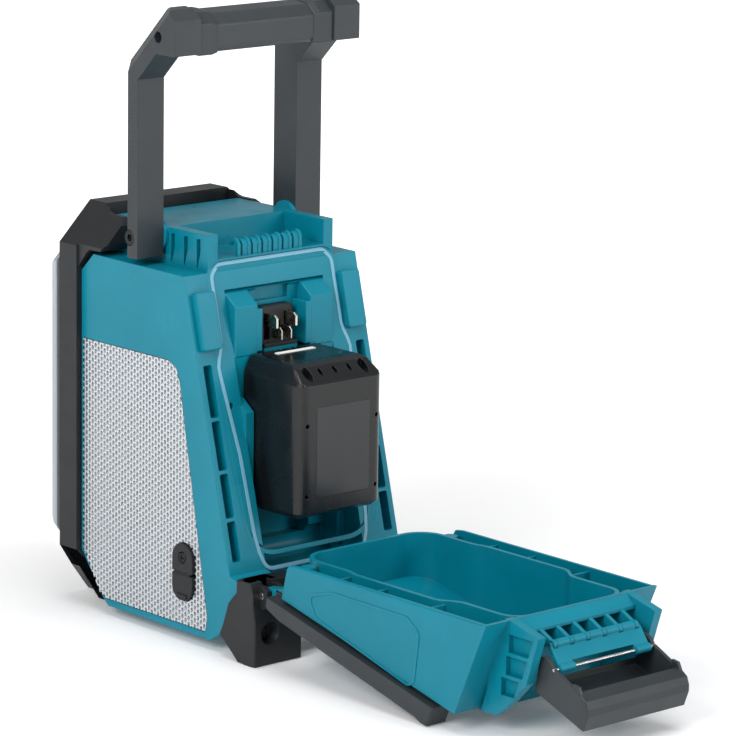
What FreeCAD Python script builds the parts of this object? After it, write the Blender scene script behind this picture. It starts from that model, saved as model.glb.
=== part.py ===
import FreeCAD, Part
import math
import os

V = FreeCAD.Vector

# teal body, side view in the Y-Z plane; front at -Y, battery door at +Y, ground at Z 0
HALF_W = 77.0
FRONT_Y = -90.0
BODY_LOW = 7.0
BACK_TOP_Y = 22.1
BACK_TOP_Z = 254.6
BACK_LEAN = 14.18
LEDGE_Z = 255.2
TRAY_HALF = 56.0
TRAY_WALL = 8.4
TRAY_TOP = 280.2
TRAY_FRONT_Y = -21.0
TRAY_FLOOR = 263.0
WALL = 3.0

# battery bay, terminal block and pack
BAY_HALF = 44.5
BAY_BACK_Y = 36.6
BAY_LOW = 50.0
PACK_HALF = 37.5
PACK_BACK_Y = 97.9
PACK_FRONT_Y = 37.6
PACK_LOW = 93.0
PACK_TOP = 198.0
PACK_R = 6.0
RAIL_FIT = 0.5
TEE_HALF = 15.0
TEE_WEB = 11.0
TEE_Y = 33.0

# black bumper and silver trim, octagons seen from the front
BUMP_HALF = 81.5
BUMP_TOP = 286.8
BUMP_CHAMFER = 27.0
BUMP_Y = -112.5
TRIM_Y = -120.0
TRIM_HALF = 79.0

# carrying handle
ARM_OUT = 82.5
ARM_IN = TRAY_HALF + 3.5
ARM_W = ARM_OUT - ARM_IN
ARM_BACK_Y = -22.0
ARM_DEEP = 24.0
ARM_LOW = 260.4
HEEL = 7.0
ARM_BEND_Z = 383.6
PIVOT_Y = -30.6
PIVOT_Z = 274.2
PIVOT_R = 4.0
CAP_BACK_Y = 17.0
GRIP_SCREW = (-0.5, 415.0)
SCREW_R = 1.7
GRIP_HALF = 57.0

# hinged door, built open
HINGE_Y = 103.9
HINGE_Z = 48.96
PIN_R = 2.5
BOLT_X = HALF_W - 9
BOLT_Z = 22.4
RIM_Z = 77.4
DOOR_END_Y = 323.3
TUB_HALF = 60.5
POCKET_DEEP = 9.4
POCKET_STEP = 6.4
POCKET_END_Y = 268.0
TUB_NARROW = 51.5

# draw latch on the free end of the door
LINK_Y = 342.7
LINK_Z = 62.6
BAR_Y = 352.6
BAR_Z = 49.2
LINK_HALF = 40.5
BARREL_R = 2.9
BAR_R = 1.25
LEVER_HALF = 46.0
CHEEK_IN = 49.0
CHEEK_OUT = 55.8
FIT = 0.06
GAP = 0.3

# middle of the footprint, moved to the origin at the end
MIDDLE_Y = 128.8


def box(x0, y0, z0, x1, y1, z1):
    return Part.makeBox(x1 - x0, y1 - y0, z1 - z0, V(x0, y0, z0))


def rod(r, a, b):
    d = V(*b).sub(V(*a))
    return Part.makeCylinder(r, d.Length, V(*a), d)


def prism_x(pts, x0, x1):
    w = Part.makePolygon([V(x0, y, z) for y, z in pts] + [V(x0, pts[0][0], pts[0][1])])
    return Part.Face(w).extrude(V(x1 - x0, 0, 0))


def prism_y(pts, y0, y1):
    w = Part.makePolygon([V(x, y0, z) for x, z in pts] + [V(pts[0][0], y0, pts[0][1])])
    return Part.Face(w).extrude(V(0, y1 - y0, 0))


def prism_z(pts, z0, z1):
    w = Part.makePolygon([V(x, y, z0) for x, y in pts] + [V(pts[0][0], pts[0][1], z0)])
    return Part.Face(w).extrude(V(0, 0, z1 - z0))


def mirror(s):
    return s.mirror(V(0, 0, 0), V(1, 0, 0))


def both(s):
    return [s, mirror(s)]


def fuse(shapes):
    s = shapes[0].multiFuse(shapes[1:]) if len(shapes) > 1 else shapes[0]
    return s.removeSplitter()


def cut(s, tools):
    return s.cut(list(tools)) if tools else s


def soften(s, r, test):
    es = [e for e in s.Edges if test(e, e.valueAt((e.FirstParameter + e.LastParameter) / 2))]
    return s.makeFillet(r, es) if es else s


def along(axis):
    def f(e, m):
        d = e.tangentAt(e.FirstParameter)
        return e.Curve.TypeId == "Part::GeomLine" and abs(abs(getattr(d, axis)) - 1) < 1e-6
    return f


def slope_y(z):
    return BACK_TOP_Y + (BACK_TOP_Z - z) * math.tan(math.radians(BACK_LEAN))


def on_slope(x, t, h=0.0):
    a = math.radians(BACK_LEAN)
    return V(x, BACK_TOP_Y + t * math.sin(a) + h * math.cos(a),
             BACK_TOP_Z - t * math.cos(a) + h * math.sin(a))


def slope_solid(pts, h0, h1, radii):
    face = Part.Face(rounded([on_slope(x, t, h0) for x, t in pts], radii))
    return face.extrude(on_slope(0, 0, h1).sub(on_slope(0, 0, h0)))


def rounded(pts, radii):
    edges = []
    n = len(pts)
    ends = []
    for i, p in enumerate(pts):
        a = pts[i - 1].sub(p)
        b = pts[(i + 1) % n].sub(p)
        a.normalize()
        b.normalize()
        half = a.getAngle(b) / 2
        r = radii[i]
        if r <= 0:
            ends.append((p, None, p))
            continue
        s = r / math.tan(half)
        q = r / math.sin(half)
        m = a.add(b)
        m.normalize()
        ends.append((p.add(V(a).multiply(s)), p.add(m.multiply(q - r)), p.add(V(b).multiply(s))))
    for i, (p, mid, q) in enumerate(ends):
        if mid is not None:
            edges.append(Part.Arc(p, mid, q).toShape())
        nxt = ends[(i + 1) % n][0]
        if q.distanceToPoint(nxt) > 1e-6:
            edges.append(Part.makeLine(q, nxt))
    return Part.Wire(edges)


def turned_off(x, y, z, depth, r0, r1):
    return Part.makeCone(r0, r1, depth, V(x, y, z), V(1, 0, 0))


GASKET_OUT = [(-57, -6.5), (57, -6.5), (60.5, 55), (60.5, 120), (56, 196), (-56, 196), (-60.5, 120), (-60.5, 55)]
GASKET_R = [12, 12, 0, 0, 26, 26, 0, 0]


def shrink(pts, d):
    cx = 0.0
    ts = [t for x, t in pts]
    t0, t1 = min(ts), max(ts)
    out = []
    for x, t in pts:
        nt = t + d if t - t0 < 1 else (t - d if t1 - t < 1 else t)
        out.append((x - d if x > cx else x + d, nt))
    return out


def gasket():
    outer = slope_solid(GASKET_OUT, -1.2, 0.35, GASKET_R)
    inner = slope_solid(shrink(GASKET_OUT, 2.6), -1.2, 0.35, [r - 2.6 if r else 0 for r in GASKET_R])
    return outer.cut(inner)


def gasket_groove():
    d = 0.3
    outer = slope_solid(shrink(GASKET_OUT, -d), -1.5, 5, [r + d if r else 0 for r in GASKET_R])
    inner = slope_solid(shrink(GASKET_OUT, 2.6 + d), -1.5, 5, [r - 2.6 - d if r else 0 for r in GASKET_R])
    return outer.cut(inner)


def body_block():
    side = [(FRONT_Y, 42.3), (FRONT_Y, 242.3), (-77.0, LEDGE_Z), (BACK_TOP_Y, BACK_TOP_Z),
            (slope_y(56), 56), (84, 53), (84, 48.5), (slope_y(44), 40), (66, 16), (52, BODY_LOW),
            (-60, BODY_LOW), (-68, 14.3)]
    core = prism_x(side, -HALF_W, HALF_W)
    hump = prism_x([(-86, 240), (-86, 276), (-80, TRAY_TOP), (TRAY_FRONT_Y - 4, TRAY_TOP),
                    (BACK_TOP_Y - 0.3, TRAY_TOP), (BACK_TOP_Y - 0.3, 250), (-70, 240)], -TRAY_HALF, TRAY_HALF)
    bosses = [rod(PIVOT_R + 7, (s * TRAY_HALF, PIVOT_Y, PIVOT_Z), (s * (ARM_OUT - ARM_W - GAP), PIVOT_Y, PIVOT_Z))
              for s in (1, -1)]
    return fuse([core, hump] + bosses)


def tray_cut():
    w = TRAY_HALF - TRAY_WALL
    inner = prism_x([(TRAY_FRONT_Y, TRAY_TOP + 5), (TRAY_FRONT_Y + 3, TRAY_FLOOR), (40, TRAY_FLOOR),
                     (40, TRAY_TOP + 5)], -w, w)
    return soften(inner, 4.0, lambda e, m: along("z")(e, m) and m.y < 0)


def tray_slots():
    out = []
    for y in (-18.2, -4.3, 9.4):
        s = prism_x([(y, 276), (y + 4, 276.5), (y + 4, 267), (y + 1, 256.5), (y, 256.5)], TRAY_HALF - 5, TRAY_HALF + 1)
        out += both(s)
    return out


COMB_HALF = 28.8
HOOKS = 7
HOOK_W = 2.3


def comb():
    pitch = (2 * COMB_HALF - HOOK_W) / (HOOKS - 1)
    low = TRAY_FLOOR - 0.6
    hook = [(20.6, low), (20.6, 271.2), (19.0, 273.8), (16.2, 275.0), (13.2, 273.8), (11.0, 270.8),
            (12.4, 269.4), (14.0, 271.6), (16.0, 272.4), (17.6, 271.6), (18.2, 269.8), (18.2, low)]
    web = [(19.8, low), (19.8, 270.4), (18.6, 272.6), (16.2, 273.8), (16.0, 272.4), (17.6, 271.6), (18.2, 269.8), (18.2, low)]
    parts = []
    for i in range(HOOKS):
        x = -COMB_HALF + i * pitch
        parts.append(prism_x(hook, x, x + HOOK_W))
    for i in range(HOOKS - 1):
        x = -COMB_HALF + i * pitch + HOOK_W
        parts.append(prism_x(web, x - 0.05, x + pitch - HOOK_W - 2.6))
    return parts


def side_pocket():
    cuts = []
    for t0, t1 in ((61.5, 97.3), (99.7, 133.4), (135.8, 166.0), (168.4, 196.0)):
        cuts.append(slope_solid([(65.2, t0), (72.6, t0), (72.6, t1), (65.2, t1)], -9, 6, [1.5] * 4))
    return cuts


def bay_cut():
    w = BAY_HALF
    zt = 242.0
    low = prism_x([(BAY_BACK_Y, BAY_LOW), (BAY_BACK_Y, 231.5), (25.7, 239.4), (20, zt), (60, zt), (110, 230),
                   (110, 62), (80, BAY_LOW + 1)], -w, w)
    mid = prism_x([(22, 64), (22, 238), (26, zt), (60, zt), (60, 64)], -24, 24)
    window = box(-14.8, 19, 230, 14.8, 30, 240)
    scoop = rod(9, (-w + 8, BAY_BACK_Y + 4, 61), (w - 2, BAY_BACK_Y + 4, 61))
    return [low, mid, window, scoop]


def tee_rail():
    web = box(-TEE_WEB, 20, 96, TEE_WEB, 30, 199)
    plate = box(-TEE_HALF, 29, 96, TEE_HALF, TEE_Y, 199)
    return fuse([web, plate])


def guides():
    g = prism_x([(30, 56), (30, 172), (40.0, 168.6), (50.5, 160.7), (50.5, 56)], PACK_HALF + 0.9, BAY_HALF + 1)
    return both(g)


def grille_recess():
    pts = grille_outline(0.4)
    return both(prism_x(pts, HALF_W - 1.6, HALF_W + 5))


def grille_outline(d=0.0):
    return [(-88.6 - d, 44 - d), (-88.6 - d, 194.3 + d), (5 + d, 194.3 + d), (14 + d, 190), (17.5 + d, 182),
            (48.5 + d, 22 - d), (46.5, 12 - d), (-62 - d, 12 - d), (-69.5 - d, 15 - d)]


USB_Y = 24.0
USB_Z = 49.3
FLAP_OUT = 1.4
FLAP_R = 0.85
SPEAKER_Y = -36.0
SPEAKER_Z = 112.0
SPEAKER_R = 42.0


def speaker_well():
    out = []
    for s in (1, -1):
        out.append(rod(SPEAKER_R + 3, (s * HALF_W, SPEAKER_Y, SPEAKER_Z), (s * (HALF_W - 9), SPEAKER_Y, SPEAKER_Z)))
        out.append(rod(SPEAKER_R - 4, (s * (HALF_W - 8), SPEAKER_Y, SPEAKER_Z), (s * 16, SPEAKER_Y, SPEAKER_Z)))
    return out


def usb_recess(d, more=0.0):
    h, b = 20.5 + more, 11.0 + more
    pts = [V(HALF_W - d, USB_Y + i * b, USB_Z + j * h) for i, j in ((-1, -1), (1, -1), (1, 1), (-1, 1))]
    return Part.Face(rounded(pts, [b - 0.1] * 4))


def rear_housing():
    s = body_block()
    s = cut(s, [tray_cut()] + tray_slots())
    s = cut(s, bay_cut())
    s = fuse([s, tee_rail()] + guides())
    s = cut(s, side_pocket() + [mirror(p) for p in side_pocket()])
    s = fuse([cut(s, [gasket_groove()])] + comb())
    s = cut(s, grille_recess() + speaker_well() + front_cavity() + port_cuts())
    s = cut(s, [rod(PIVOT_R + FIT, (t * (TRAY_HALF - 6), PIVOT_Y, PIVOT_Z), (t * 90, PIVOT_Y, PIVOT_Z)) for t in (1, -1)])
    s = cut(s, block_seats() + [rod(2.4, on_slope(53.9, 91.2, -8), on_slope(53.9, 91.2, 3))])
    return s


def block_seats():
    return [box(-13.9, 15.7, 201.7, 13.9, 60, 226.9), box(-15.3, 17.7, 199.0, 15.3, 60, 202.1)]


def front_cavity():
    hollow = box(-64, FRONT_Y - 1, 50, 64, FRONT_Y + 16, 236)
    posts = [box(x - 3, FRONT_Y + 6.4, z - 3, x + 3, FRONT_Y + 17, z + 3) for x in (-55, 55) for z in (60, 143, 226)]
    return [cut(hollow, posts)]


def port_cuts():
    plate = usb_recess(4.0).extrude(V(12, 0, 0))
    slot = box(HALF_W - 16, 21, 34, HALF_W, 27, 47)
    jack = rod(4.0, (HALF_W - 16, 24, 56), (HALF_W, 24, 56))
    return [plate, slot, jack]


def octagon(half, top, low, ch, ch_low):
    return [(-half, low + ch_low), (-half, top - ch), (-half + ch, top), (half - ch, top), (half, top - ch),
            (half, low + ch_low), (half - ch_low * 0.75, low), (-half + ch_low * 0.75, low)]


def front_bumper():
    outer = prism_y(octagon(BUMP_HALF, BUMP_TOP, 6, BUMP_CHAMFER, 34), BUMP_Y + 3, FRONT_Y - GAP)
    nose = prism_y(octagon(BUMP_HALF - 2.5, BUMP_TOP - 2.5, 8.5, BUMP_CHAMFER, 34), BUMP_Y, BUMP_Y + 3)
    hole = prism_y(octagon(66, 250, 34, 20, 24), BUMP_Y - 1, FRONT_Y + 1)
    s = fuse([outer, nose])
    s = s.cut(hole)
    bar = prism_x([(-100, 262), (-100, BUMP_TOP), (-86.6, BUMP_TOP), (-83, 282), (-80, 281), (-66, 281),
                   (-61, 276), (-61, 264), (-66, 258.5), (-77.5, 258.5), (-81, LEDGE_Z + 0.6), (-90.3, 245), (-100, 245)],
                  -TRAY_HALF - GAP, -HALF_W - 3)
    mask = prism_y(octagon(BUMP_HALF, BUMP_TOP, 6, BUMP_CHAMFER, 34), -130, 0)
    block = both(bar.common(mask))
    foot = prism_x([(-100, 0), (-100, 34), (-90.3, 34), (-90.3, 42), (-68.4, 13.6), (-60.4, 6.6), (-40, 6.6), (-46, 0)],
                   HALF_W + 4.5, 40)
    chin = prism_x([(-100, 3), (-100, 30), (-90.3, 30), (-90.3, 41), (-68.4, 13.6), (-60.4, 6.6), (-50, 6.6), (-50, 3)],
                   -42, 42)
    return fuse([s] + block + both(foot) + [chin])


def front_trim():
    a = prism_y(octagon(TRIM_HALF, 280, 16, 34, 40), TRIM_Y, BUMP_Y - GAP)
    b = prism_y(octagon(TRIM_HALF - 5, 275, 21, 34, 40), TRIM_Y - 4, TRIM_Y)
    hole = prism_y(octagon(67, 252, 33, 22, 26), TRIM_Y - 9, FRONT_Y)
    return fuse([a, b]).cut(hole)


KNOB_Z = 141.0
KNOB_R = 19.0
SHAFT_R = 3.0
DISPLAY = (-38.0, 186.0, 38.0, 226.0)
BUTTON_X = (-45.0, -27.0, -9.0, 9.0, 27.0, 45.0)
BUTTON_Z = 172.0
BUTTON_R = 5.0
TWEETER_X = 35.0
TWEETER_Z = 82.0
TWEETER_R = 22.0
PANEL_Y = -114.0


def front_panel():
    s = prism_y(octagon(65.6, 249.6, 34.4, 20, 24), PANEL_Y, FRONT_Y - GAP)
    x0, z0, x1, z1 = DISPLAY
    cuts = [box(x0, PANEL_Y - 1, z0, x1, PANEL_Y + 2.2, z1),
            box(x0 + 6, PANEL_Y + 1, z0 + 5, x1 - 6, FRONT_Y, z1 - 5),
            rod(SHAFT_R + FIT, (0, PANEL_Y - 1, KNOB_Z), (0, FRONT_Y, KNOB_Z)),
            rod(8.8, (0, PANEL_Y + 4.3, KNOB_Z), (0, FRONT_Y, KNOB_Z)),
            rod(KNOB_R + 1.2, (0, PANEL_Y - 1, KNOB_Z), (0, PANEL_Y + 1.0, KNOB_Z))]
    for x in BUTTON_X:
        cuts.append(rod(BUTTON_R + 0.25, (x, PANEL_Y - 1, BUTTON_Z), (x, PANEL_Y + 6, BUTTON_Z)))
        cuts.append(rod(2.0 + FIT, (x, PANEL_Y, BUTTON_Z), (x, FRONT_Y, BUTTON_Z)))
    for x in (TWEETER_X, -TWEETER_X):
        cuts.append(rod(TWEETER_R + GAP, (x, PANEL_Y - 1, TWEETER_Z), (x, PANEL_Y + 2, TWEETER_Z)))
        cuts.append(rod(TWEETER_R - 2, (x, PANEL_Y, TWEETER_Z), (x, FRONT_Y, TWEETER_Z)))
    return cut(s, cuts)


def display_lens():
    x0, z0, x1, z1 = DISPLAY
    s = box(x0 + GAP, PANEL_Y + 0.2, z0 + GAP, x1 - GAP, PANEL_Y + 1.9, z1 - GAP)
    return soften(s, 0.6, lambda e, m: m.y < PANEL_Y + 0.3)


def display_module():
    x0, z0, x1, z1 = DISPLAY
    return box(x0 + 6.4, PANEL_Y + 2.6, z0 + 5.4, x1 - 6.4, PANEL_Y + 8, z1 - 5.4)


def tuning_knob():
    s = rod(KNOB_R, (0, PANEL_Y - 13, KNOB_Z), (0, PANEL_Y + 0.7, KNOB_Z))
    s = soften(s, 1.5, lambda e, m: m.y < PANEL_Y - 12)
    grips = []
    for i in range(18):
        a = 2 * math.pi * i / 18
        grips.append(rod(1.6, (KNOB_R * 1.02 * math.cos(a), PANEL_Y - 14, KNOB_Z + KNOB_R * 1.02 * math.sin(a)),
                         (KNOB_R * 1.02 * math.cos(a), PANEL_Y - 2, KNOB_Z + KNOB_R * 1.02 * math.sin(a))))
    dimple = Part.makeSphere(30, V(0, PANEL_Y - 13 - 28.6, KNOB_Z))
    shaft = rod(SHAFT_R, (0, PANEL_Y, KNOB_Z), (0, FRONT_Y - 9, KNOB_Z))
    return fuse([cut(s, grips + [dimple]), shaft])


def tuning_encoder():
    body = rod(8.5, (0, PANEL_Y + 4.6, KNOB_Z), (0, PANEL_Y + 12.5, KNOB_Z))
    return body.cut(rod(SHAFT_R + FIT, (0, PANEL_Y, KNOB_Z), (0, PANEL_Y + 20, KNOB_Z)))


def panel_button(x):
    cap = rod(BUTTON_R, (x, PANEL_Y - 2.2, BUTTON_Z), (x, PANEL_Y + 3.6, BUTTON_Z))
    cap = soften(cap, 0.8, lambda e, m: m.y < PANEL_Y - 2)
    return fuse([cap, rod(2.0, (x, PANEL_Y, BUTTON_Z), (x, FRONT_Y - 3.5, BUTTON_Z))])


def tweeter_guards():
    out = []
    for x in (TWEETER_X, -TWEETER_X):
        out.append(rod(TWEETER_R, (x, PANEL_Y - 0.6, TWEETER_Z), (x, PANEL_Y + 1.4, TWEETER_Z)))
    return Part.makeCompound(out)


def tweeters():
    out = []
    for x in (TWEETER_X, -TWEETER_X):
        ring = rod(TWEETER_R - 2.5, (x, PANEL_Y + 3, TWEETER_Z), (x, PANEL_Y + 7, TWEETER_Z))
        hole = rod(13, (x, PANEL_Y + 2, TWEETER_Z), (x, PANEL_Y + 5, TWEETER_Z))
        dome = Part.makeSphere(14, V(x, PANEL_Y + 16.4, TWEETER_Z)).common(
            rod(11, (x, PANEL_Y - 5, TWEETER_Z), (x, PANEL_Y + 6.6, TWEETER_Z)))
        magnet = rod(14, (x, PANEL_Y + 6.5, TWEETER_Z), (x, PANEL_Y + 20, TWEETER_Z))
        out.append(fuse([ring.cut(hole), dome, magnet]))
    return Part.makeCompound(out)


def main_board():
    s = box(-60, FRONT_Y + 4.5, 54, 60, FRONT_Y + 6.1, 232)
    parts = [box(-30, FRONT_Y + 6, 180, -10, FRONT_Y + 9, 200), box(6, FRONT_Y + 6, 150, 40, FRONT_Y + 12, 170),
             box(-50, FRONT_Y + 6, 70, -30, FRONT_Y + 11, 96), box(20, FRONT_Y + 6, 72, 34, FRONT_Y + 13, 86)]
    return fuse([s] + parts)


def side_grille():
    return prism_x(grille_outline(-0.1), HALF_W - 1.3, HALF_W + 0.1)


def port_side_grille():
    return side_grille().cut(usb_recess(4.0, 0.35).extrude(V(12, 0, 0)))


def woofer():
    y, z, x = SPEAKER_Y, SPEAKER_Z, HALF_W - 2.2
    r = SPEAKER_R
    frame = fuse([rod(r + 2.6, (x - 2.5, y, z), (x - 4.5, y, z)).cut(rod(r - 5, (x, y, z), (x - 10, y, z))),
                  turned_off(x - 26, y, z, 23.5, r - 16, r - 4.4).cut(turned_off(x - 24, y, z, 25, r - 18.5, r - 5.4)),
                  rod(r - 16, (x - 26, y, z), (x - 28, y, z))])
    return frame


def woofer_cone():
    y, z, x = SPEAKER_Y, SPEAKER_Z, HALF_W - 5
    r = SPEAKER_R - 10
    c = turned_off(x - 17, y, z, 18.4, 11, r).cut(turned_off(x - 16, y, z, 18.5, 10.4, r + 0.4))
    dome = Part.makeSphere(17, V(x - 24, y, z)).common(rod(13, (x - 18, y, z), (x, y, z)))
    roll = Part.makeTorus(r + 1.9, 2.5, V(x + 0.6, y, z), V(1, 0, 0)).cut(Part.makeTorus(r + 1.9, 1.7, V(x + 0.6, y, z), V(1, 0, 0)))
    roll = roll.cut(rod(60, (x - 20, y, z), (x + 0.6, y, z)))
    rim = rod(r + 9.6, (x + 0.6, y, z), (x + 1.4, y, z)).cut(rod(r + 4.2, (x, y, z), (x + 2, y, z)))
    return fuse([c, dome, rod(12.5, (x - 18.5, y, z), (x - 15.5, y, z)), roll, rim])


def woofer_magnet():
    y, z, x = SPEAKER_Y, SPEAKER_Z, HALF_W - 2.2
    return rod(SPEAKER_R - 8, (x - 28 - GAP, y, z), (x - 44, y, z))


# usb cover
def usb_cover():
    x, z = HALF_W + FLAP_OUT, USB_Z - 0.8
    s = usb_recess(3.4, -0.35).extrude(V(5.6, 0, 0))
    s = s.common(box(0, USB_Y - 20, USB_Z - 19.7, x + 20, USB_Y + 20, z - FLAP_R))
    hook = rod(FLAP_R, (x, USB_Y - 8, z), (x, USB_Y + 8, z))
    neck = box(x - 0.5, USB_Y - 8, z - FLAP_R - 1, x + 0.5, USB_Y + 8, z)
    hook = fuse([hook, neck])
    lip = box(HALF_W + 2, USB_Y - 5, USB_Z - 18, HALF_W + 3.2, USB_Y + 5, USB_Z - 15.5)
    return fuse([s, hook, lip])


def usb_pad():
    s = usb_recess(3.4, -0.35).extrude(V(5.6, 0, 0))
    s = s.common(box(0, USB_Y - 20, USB_Z - 0.8 + FLAP_R + 0.1, HALF_W + 20, USB_Y + 20, USB_Z + 30))
    return cut(s, [rod(4.2, (HALF_W + 0.8, USB_Y, USB_Z + 10.5), (HALF_W + 5, USB_Y, USB_Z + 10.5)),
                   rod(2.2, (HALF_W - 5, USB_Y, USB_Z + 10.5), (HALF_W + 5, USB_Y, USB_Z + 10.5))])


def pan_screw(c, d, r_head, r, head, length):
    n = V(*d)
    n.normalize()
    p = V(*c)
    s = Part.makeCylinder(r_head, head, p, n)
    s = soften(s, head * 0.4, lambda e, m: (m.sub(p)).dot(n) > head - 0.01)
    shank = Part.makeCylinder(r, length, p, V(n).multiply(-1))
    s = fuse([s, shank])
    u = V(0, 0, 1) if abs(n.z) < 0.9 else V(0, 1, 0)
    w = n.cross(u)
    a, b = r_head * 0.62, r_head * 0.14
    for g, k in ((u, w), (w, u)):
        o = p.add(V(n).multiply(head * 0.45)).sub(V(g).multiply(a)).sub(V(k).multiply(b))
        f = Part.Face(Part.makePolygon([o, o.add(V(g).multiply(2 * a)), o.add(V(g).multiply(2 * a)).add(
            V(k).multiply(2 * b)), o.add(V(k).multiply(2 * b)), o]))
        s = s.cut(f.extrude(V(n).multiply(head)))
    return s


def usb_screw():
    return pan_screw((HALF_W + 0.9, USB_Y, USB_Z + 10.5), (1, 0, 0), 3.6, 1.8, 1.4, 4.6)


def port_block():
    shell = box(HALF_W - 15.5, 21.4, 34.4, HALF_W - 4.4, 26.6, 46.6).cut(
        box(HALF_W - 13, 22.2, 35.4, HALF_W, 25.8, 45.6))
    tongue = box(HALF_W - 14, 23.4, 36.6, HALF_W - 5, 24.6, 44.4)
    jack = rod(3.7, (HALF_W - 15.5, 24, 56), (HALF_W - 4.4, 24, 56)).cut(rod(1.8, (HALF_W - 13, 24, 56), (HALF_W, 24, 56)))
    return [fuse([shell, tongue]), jack]


# battery pack
def pack_case():
    s = box(-PACK_HALF, PACK_FRONT_Y, PACK_LOW, PACK_HALF, PACK_BACK_Y, PACK_TOP)
    s = soften(s, PACK_R, lambda e, m: along("z")(e, m) and m.y > 90)
    s = s.cut(prism_x([(PACK_BACK_Y + 1, 184), (PACK_BACK_Y + 1, 205), (60, 205), (60, PACK_TOP), (86, PACK_TOP),
                       (PACK_BACK_Y, 186)], -60, 60))
    s = s.cut(prism_x([(PACK_BACK_Y + 1, 100), (PACK_BACK_Y + 1, 90), (80, 90), (80, PACK_LOW)], -60, 60))
    for side in (1, -1):
        s = s.cut(prism_y([(side * 40, 190), (side * 30, 205), (side * 40, 205)], 30, 100))
    for x, r in ((-25, 2.6), (25, 2.6), (-14, 1.5), (0, 1.5), (14, 1.5)):
        s = s.cut(rod(r, (x, 96, 195), (x, 84, 183)))
    for x in (-31, 31):
        for z in (106, 150):
            s = s.cut(rod(1.4, (x, 94, z), (x, 99, z)))
    s = s.cut(box(-5.5, PACK_FRONT_Y - 1, PACK_LOW - 1, 5.5, PACK_FRONT_Y + 8, PACK_LOW + 14))
    for x in (-9.0, 9.0):
        s = s.cut(box(x - 1.2, PACK_FRONT_Y - 1, 182, x + 1.2, 43.5, PACK_TOP + 1))
    s = s.cut(box(-17.4, 46.0, PACK_TOP - 2.0, 17.4, 50.4, PACK_TOP + 1))
    up = box(TEE_HALF + RAIL_FIT, TEE_Y - 8.6, 104, 22.8, PACK_FRONT_Y + 1, 185)
    hook = box(TEE_WEB + RAIL_FIT, TEE_Y - 8.6, 104, TEE_HALF + 1.5, TEE_Y - 4.5, 185)
    return fuse([s] + both(up) + both(hook))


def pack_guard():
    return box(-17.0, 46.3, PACK_TOP - 1.8, 17.0, 50.1, PACK_TOP + 0.5)


def pack_button():
    s = box(-5.2, PACK_FRONT_Y + 0.6, PACK_LOW - 3.2, 5.2, PACK_FRONT_Y + 7.6, PACK_LOW + 9.5)
    return soften(s, 1.0, lambda e, m: m.z < PACK_LOW - 3)


def pack_screws():
    return Part.makeCompound([rod(1.3, (x, 94.2, z), (x, 96.6, z)) for x in (-31, 31) for z in (106, 150)])


def terminal_block():
    s = box(-13.6, 16, 202.0, 13.6, 28.5, 226.6)
    lip = box(-15.0, 18, 199.3, 15.0, 33.4, 201.8)
    s = fuse([s, box(-13.6, 18, 201, 13.6, 28.5, 203), lip])
    cuts = [box(x - 2.6, 23, 203.6, x + 2.6, 36, 222) for x in (-9.0, 9.0)] + [box(-3.2, 24, 206, 3.2, 36, 216)]
    return cut(s, cuts)


def terminal_blades():
    out = []
    for x in (-9.0, 9.0):
        blade = prism_x([(23.3, 206), (23.3, 221), (38.0, 221), (41.0, 218.5), (41.0, 206)], x - 0.5, x + 0.5)
        out.append(blade)
    return Part.makeCompound(out)


# rear foot and door hinge
def rear_foot():
    y0, y1 = 92.5, 102.0
    skin = [(y0 - 4, 57.6), (y0 - 4, 42), (69.5, 14.6), (78, 11.3), (y0, 0), (y1, 0), (y1, 50), (99, 57.6)]
    end = prism_x(skin, HALF_W + GAP, BUMP_HALF)
    inner = prism_x([(84.4, 57.6), (84.4, 48.1), (75.9, 39.7), (66.6, 15.6), (78, 8), (y0, 0), (y1, 0), (y1, 50), (99, 57.6)],
                    HALF_W - 20, HALF_W + GAP)
    tie = prism_x([(84.4, 14), (84.4, 34), (96, 34), (96, 14)], 19 - HALF_W, HALF_W - 19)
    s = fuse(both(end) + both(inner) + [tie])
    ear = [(90, 36), (90, 55.6), (HINGE_Y, 55.6), (HINGE_Y + 5.6, HINGE_Z + 4), (HINGE_Y + 5.6, HINGE_Z - 5), (100, 36)]
    ears = []
    for x0 in (HALF_W - 18, HALF_W - 5.4):
        ears += both(prism_x(ear, x0, x0 + 4))
    s = fuse([s] + ears)
    cuts = []
    for t in (1, -1):
        a, b = t * (HALF_W - 13.9), t * (HALF_W - 5.5)
        cuts.append(box(min(a, b), 94.0, 41, max(a, b), 120, 70))
        cuts.append(rod(PIN_R + FIT, (t * (HALF_W - 27), HINGE_Y, HINGE_Z), (t * (HALF_W - 0.2), HINGE_Y, HINGE_Z)))
        cuts.append(Part.makeCone(4.2, 7.5, 8, V(t * BOLT_X, y1 - 7, BOLT_Z), V(0, 1, 0)))
        cuts.append(rod(2.4, (t * BOLT_X, 60, BOLT_Z), (t * BOLT_X, 100, BOLT_Z)))
    return cut(s, cuts)


def foot_bolts():
    return Part.makeCompound([pan_screw((t * BOLT_X, 95.2, BOLT_Z), (0, 1, 0), 3.8, 2.1, 2.6, 9) for t in (1, -1)])


def hinge_pins():
    return Part.makeCompound([rod(PIN_R, (t * (HALF_W - 18), HINGE_Y, HINGE_Z), (t * (HALF_W - 0.5), HINGE_Y, HINGE_Z))
                              for t in (1, -1)])


def tub_points(d):
    h, n = TUB_HALF - d, TUB_NARROW - d
    y0, y1 = 119.0 + d, DOOR_END_Y - d
    right = [V(h - 3, y0, RIM_Z), V(h - 3, 170, RIM_Z), V(h, 180, RIM_Z), V(h, 258, RIM_Z), V(n, 271, RIM_Z), V(n, y1, RIM_Z)]
    left = [V(-p.x, p.y, p.z) for p in reversed(right)]
    r = [20 - d, 30, 30, 14, 14, 16 - d]
    return rounded(right + left, r + r[::-1])


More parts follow.
